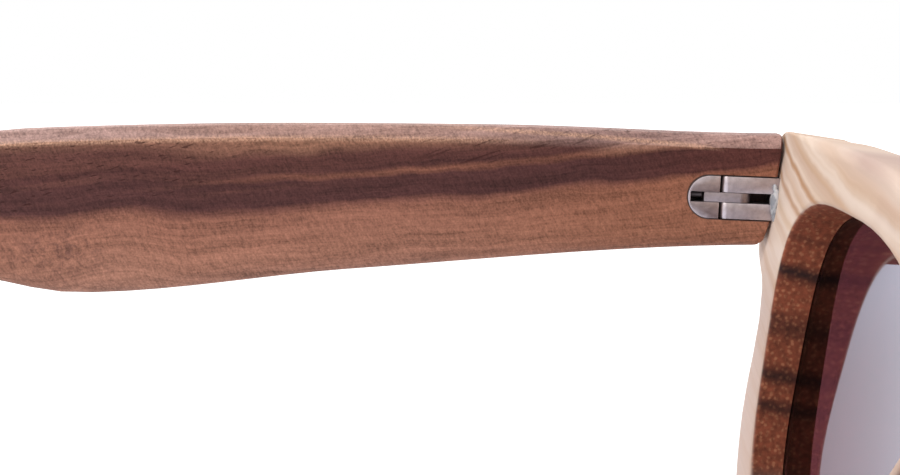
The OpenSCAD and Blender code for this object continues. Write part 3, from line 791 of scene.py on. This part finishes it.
def end_tones(board, mottle, dots):
    stripes = stripes_of(board.layer, END_STRIPES)
    tone = (stripes * END_DARK_SHARE).mix(END, END_DARK)
    tone = (dots * (END_PORE_SHARE - stripes * END_PORE_LESS)).mix(tone, END_PORE)
    low = (0 - board.up).rise(*LOW_END) * LOW_END_SHADE
    return (MOTTLE_LEAST + mottle * MOTTLE_PLAY - low).shade(tone)


def cut_across(board, turn_x, turn_z):
    outward = turn_x * board.side.math("SIGN", board.side)
    # Downward-facing parts of the upper wall get the brown end grain, partly as painted shade
    under = (0 - turn_z).rise(*FACING_DOWN) * board.up.rise(*UPPER_WALL)
    return abs(outward * END_OUTWARD + turn_z * END_UPWARD).rise(*END_FACING).most(under)


print("the end grain has", len(END_STRIPES), "stripes")

# %% [markdown]
# ## The front
# The mask of the end grain chooses between the two sets of tones, and adds a little roughness and the relief
# of the pores. The front's mesh has long thin triangles beside broad ones, which could show as streaks of
# light, so a modifier weighs its normals by the size of the faces.

# %% Front
FRONT_ROUGH = 0.52
END_ROUGH = 0.12
FRONT_SPECULAR = 0.2
FRONT_RELIEF = 0.05
FRONT_STRENGTH = 0.35
GRAIN_RELIEF = 0.6
FINE_GRAIN = (2.2, 0.05)
FRONT_SHARP = 50


def front_wood(name):
    material, place = new_material(name)
    board = front_board(place)
    turn_x, _, turn_z = place.facing()
    fine = along_layers(board, FINE_GRAIN).noise(detail=3.0, rough=0.55)
    mottle = board.spot.noise(MOTTLE_SIZE, detail=3.0, rough=0.6)
    dots = end_pores(board, mottle)
    across = cut_across(board, turn_x, turn_z)
    height = fine * GRAIN_RELIEF + dots * across * GRAIN_RELIEF
    place.surface(
        Base_Color=across.mix(face_tones(board, fine), end_tones(board, mottle, dots)),
        Roughness=FRONT_ROUGH + across * END_ROUGH,
        Specular_IOR_Level=FRONT_SPECULAR,
        Normal=height.bump(FRONT_RELIEF, FRONT_STRENGTH),
    )
    return material


front_piece = dress("front_frame", front_wood("front_wood"), FRONT_SHARP)
even = front_piece.modifiers.new("even_normals", "WEIGHTED_NORMAL")
even.keep_sharp = True
print("front:", len(front_piece.data.polygons), "faces")

# %% [markdown]
# ## Lenses
# The lenses are dark red-brown sheets, polished on both sides and a little darker at the top. A painted
# gradient alone would look like card. A clear tinted solid shows the white room as maroon, the rim behind it
# as black, and mirrors the bright floor at a low angle by itself. Its index is low, because a coated sheet
# mirrors less than a bare one.

# %% Lenses
TINT_TOP = colour(0.048, 0.0110, 0.0135)
TINT_LOW = colour(0.104, 0.0265, 0.0305)
TINT_FALL = (-4.0, 36.0)
COATED_INDEX = 1.3
LENS_SHARP = 30
lens_tint, place = new_material("lens_tint")
below_hinge = 0 - from_hinge(place).axes()[2]
place.surface(
    Base_Color=below_hinge.rise(*TINT_FALL).mix(TINT_TOP, TINT_LOW),
    Roughness=0.02,
    IOR=COATED_INDEX,
    Transmission_Weight=1.0,
)
for node in ("lens_left", "lens_right"):
    lens = dress(node, lens_tint, LENS_SHARP)
    print(node, len(lens.data.polygons), "faces")

# %% [markdown]
# ## Steel
# The hinge pieces are pressed and milled steel with a satin face. A plain metal would look cast. A fine
# brushed noise in the roughness and a faint cloud in the colour break it up, and the faces that lie deep
# between the pieces are painted dark as shade.

# %% Satin steel
STEEL_DEEP_SHADE = colour(0.110, 0.097, 0.100)
DEEP_SHADE_DEPTH = (0.15, 0.9)
DEEP_SHADE_SHARE = 0.8
BRUSH_TURN = -2.4
BRUSH_GRAIN = (2.0, 1.2, 14.0)
CLOUD_PER_MM = 1.6
CLOUD_TONES = (0.3, 0.7)
STEEL_ROUGH = 0.3
BRUSH_ROUGH = 0.25
BRUSH_RELIEF = 0.5
STEEL_RELIEF = 0.02
STEEL_STRENGTH = 0.4


def satin_steel(name, low, high):
    material, place = new_material(name)
    spot = place.map(TO_MM)
    brushed = spot.map(turn=(BRUSH_TURN, 0, 0)).map(scale=BRUSH_GRAIN).noise(detail=3.0, rough=0.6)
    cloud = spot.noise(CLOUD_PER_MM, detail=4.0, rough=0.6)
    tone = cloud.rise(*CLOUD_TONES).mix(colour(*low), colour(*high))
    # Faces that lie deep between the pieces get painted shade
    depth = abs(spot.axes()[0]) - INNER_FACE
    tone = (depth.rise(*DEEP_SHADE_DEPTH) * DEEP_SHADE_SHARE).mix(tone, STEEL_DEEP_SHADE)
    place.surface(
        Base_Color=tone,
        Metallic=1.0,
        Roughness=STEEL_ROUGH + brushed * BRUSH_ROUGH,
        Normal=(brushed * BRUSH_RELIEF + cloud).bump(STEEL_RELIEF, STEEL_STRENGTH),
    )
    return material


face_steel = satin_steel("satin_steel", (0.43, 0.365, 0.37), (0.55, 0.475, 0.48))
tongue_steel = satin_steel("tongue_steel", (0.265, 0.215, 0.215), (0.335, 0.275, 0.275))
print("steels:", face_steel.name, tongue_steel.name)

# %% [markdown]
# ## The hinges
# Each hinge has a fork, a housing, a screw, a sliding tongue, a stop and a spring. Left at its length, the spring
# would run through the stop when the temple is bent outwards. Here it gets a mesh of its own, and the share of
# its length that stays when the temple moves is worked out and printed.

# %% Hinges
STEEL_SHARP = 30
STEEL_EDGE = 0.045
WIRE_SHARP = 80
for side in ("left", "right"):
    for kind in ("leaf", "housing", "screw"):
        dress(f"hinge_{kind}_{side}", face_steel, STEEL_SHARP, STEEL_EDGE, flat=True)
    dress(f"hinge_slider_{side}", tongue_steel, STEEL_SHARP, STEEL_EDGE, flat=True)
    dress(f"hinge_stop_{side}", face_steel, STEEL_SHARP)
    spring = dress(f"hinge_spring_{side}", face_steel, WIRE_SHARP)
    flex = joint_of[f"{side}_flex"]
    low, high = [Vector(corner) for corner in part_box(f"hinge_spring_{side}")]
    kept = 1 - flex["range_m"][1] / (high.y - low.y)
    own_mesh(spring)
    print(side, "spring", round((high.y - low.y) / MM, 2), "mm long, keeps", round(kept, 3))

# %% [markdown]
# ## Glue
# The fork's tang is glued into the front, and a bead of whitish, clear glue has squeezed out at its root. It
# could be a bump in the steel. A small separate drop bends and scatters the light as the real one does. Its colour
# mixes grey-blue and white patches, partly the glue's cloudiness and partly painted highlights and painted shade.
# It starts as a row of balls, drawn out along the root, which a remesh fuses into one lumpy bead.

# %% Glue
GLUE_GREY_SHADE = colour(0.42, 0.45, 0.50)
GLUE_WHITE_HIGHLIGHT = colour(0.95, 0.96, 0.98)
GLUE_PATCH_SEEN = (0.38, 0.62)
GLUE_GRAIN = (1.6, 1.6, 0.8)
GLUE_INDEX = 1.5
GLUE_THROUGH = 0.55
GLUE_RELIEF = 0.15
clear_glue, place = new_material("clear_glue")
ripple = place.map(TO_MM).map(scale=GLUE_GRAIN).noise(detail=2.0, rough=0.5)
# The base colour mixes grey-blue and white patches, partly the glue's cloudiness and partly painted highlights and
# painted shade
place.surface(
    Base_Color=ripple.rise(*GLUE_PATCH_SEEN).mix(GLUE_GREY_SHADE, GLUE_WHITE_HIGHLIGHT),
    Roughness=0.01 + ripple * 0.03,
    IOR=GLUE_INDEX,
    Transmission_Weight=GLUE_THROUGH,
    Normal=ripple.bump(GLUE_RELIEF, 0.7),
)
print("glue:", clear_glue.name)

# %% Glue beads
# A drop is its place back and up, in millimetres, and its share of the full size
BEAD_AT = Vector((-0.26, -4.1, -0.4))
BEAD_HALF = Vector((0.62, 0.6, 0.96))
DROPS = (
    (0.0, 0.1, 1.0),
    (-0.12, 0.9, 0.6),
    (0.04, -0.85, 0.8),
    (0.06, 1.5, 0.45),
    (0.0, -1.6, 0.6),
)
FUSE = 0.07 * MM


def glue_bead(side, sign):
    work = bmesh.new()
    for back, level, share in DROPS:
        ball = bmesh.ops.create_icosphere(work, subdivisions=3, radius=1.0)["verts"]
        bmesh.ops.scale(work, verts=ball, vec=BEAD_HALF * share)
        bmesh.ops.translate(work, verts=ball, vec=(0, back, level))
    face_x = INNER_FACE - hinge.x / MM
    bmesh.ops.translate(work, verts=work.verts, vec=BEAD_AT + Vector((face_x, 0, 0)))
    bmesh.ops.scale(work, verts=work.verts, vec=(MM, MM, MM))
    bmesh.ops.translate(work, verts=work.verts, vec=hinge)
    bmesh.ops.scale(work, verts=work.verts, vec=(sign, 1, 1))
    bmesh.ops.recalc_face_normals(work, faces=work.faces)
    for face in work.faces:
        face.smooth = True
    mesh = bpy.data.meshes.new(f"glue_bead_{side}")
    work.to_mesh(mesh)
    work.free()
    piece = bpy.data.objects.new(f"glue_bead_{side}", mesh)
    scene.collection.objects.link(piece)
    piece.data.materials.append(clear_glue)
    fused = piece.modifiers.new("fused", "REMESH")
    fused.mode = "VOXEL"
    fused.voxel_size = FUSE
    fused.use_smooth_shade = True
    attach(piece, "front")
    return piece


for side, sign in (("left", 1), ("right", -1)):
    bead = glue_bead(side, sign)
    print(bead.name, "of", len(DROPS), "drops")

# %% [markdown]
# ## The floor
# The glasses stand on a plain white floor. A lit floor alone would be grey in the picture, and more light
# would bleach the wood. So the floor glows a little for the camera and through the lenses, more so far away,
# and keeps the shadow near the glasses. Gloss sees it slightly cool, as a lens mirrors a bright studio.

# %% Floor
FLOOR_HALF = 1.0
FLOOR_BELOW = 0.05 * MM
FLOOR_NEAR = 0.25
FLOOR_FAR = 0.75
FLOOR_REACH = (0.15, 0.5)
FLOOR_SHINE = 0.56
FLOOR_BASE = colour(0.82, 0.825, 0.83)
WHITE = colour(1, 1, 1)
COOL = colour(0.625, 0.735, 1.0)


def ray_kinds(tree):
    path = tree.nodes.new("ShaderNodeLightPath")
    kinds = ("Is Camera Ray", "Is Transmission Ray", "Is Glossy Ray")
    return [Sock(tree, path.outputs[kind]) for kind in kinds]


work = bmesh.new()
bmesh.ops.create_grid(work, x_segments=1, y_segments=1, size=FLOOR_HALF)
floor_mesh = bpy.data.meshes.new("floor")
work.to_mesh(floor_mesh)
work.free()
floor = bpy.data.objects.new("floor", floor_mesh)
scene.collection.objects.link(floor)
floor.location.z = cad_box[0][2] - FLOOR_BELOW
floor_white, place = new_material("floor_white")
reach = place.node("ShaderNodeVectorMath", {"operation": "LENGTH"}, {0: place}, output=1)
glow = reach.rise(*FLOOR_REACH) * (FLOOR_FAR - FLOOR_NEAR) + FLOOR_NEAR
seen, through, glossy = ray_kinds(floor_white.node_tree)
direct = (glow * seen.most(through)).shade(WHITE)
mirrored = (glow + FLOOR_SHINE).shade(COOL)
place.surface(
    Base_Color=FLOOR_BASE,
    Roughness=0.9,
    Emission_Color=glossy.mix(direct, mirrored),
    Emission_Strength=1.0,
)
floor.data.materials.append(floor_white)
print("floor at", round(floor.location.z / MM, 3), "mm")

# %% [markdown]
# ## World and lamps
# The light is that of a plain studio. A bright white world would wash the wood out. The world is white to
# the camera, to gloss and through the lenses, and lights the glasses with less than half of that. A wide
# lamp above and behind the left temple draws a sheen along its round edge, and a weaker one on the camera's
# side fills the rest.

# %% World and lamps
AMBIENT = 0.45
TARGET = (0.06, -0.03, 0.04)
world = bpy.data.worlds.new("studio")
scene.world = world
world.use_nodes = True
tree = world.node_tree
background = tree.nodes["Background"]
background.inputs["Color"].default_value = WHITE
seen, through, glossy = ray_kinds(tree)
strength = AMBIENT + seen.most(through).most(glossy) * (1.0 - AMBIENT)
tree.links.new(strength.socket, background.inputs["Strength"])


def lamp(name, place, size, power):
    data = bpy.data.lights.new(name, "AREA")
    data.size = size
    data.energy = power
    made = bpy.data.objects.new(name, data)
    scene.collection.objects.link(made)
    made.location = place
    made.rotation_euler = (Vector(TARGET) - Vector(place)).to_track_quat("-Z", "Y").to_euler()
    print("lamp", name, power, "W")


lamp("top", (0.45, 0.05, 0.66), size=0.5, power=3.6)
lamp("fill", (-0.3, 0.3, 0.45), size=0.4, power=2.6)
scene.view_settings.view_transform = "Standard"

# %% [markdown]
# ## Sizes
# The box of the solids was kept at the start, and the last line prints it.

# %% Sizes and finish
print("cad box", cad_box)
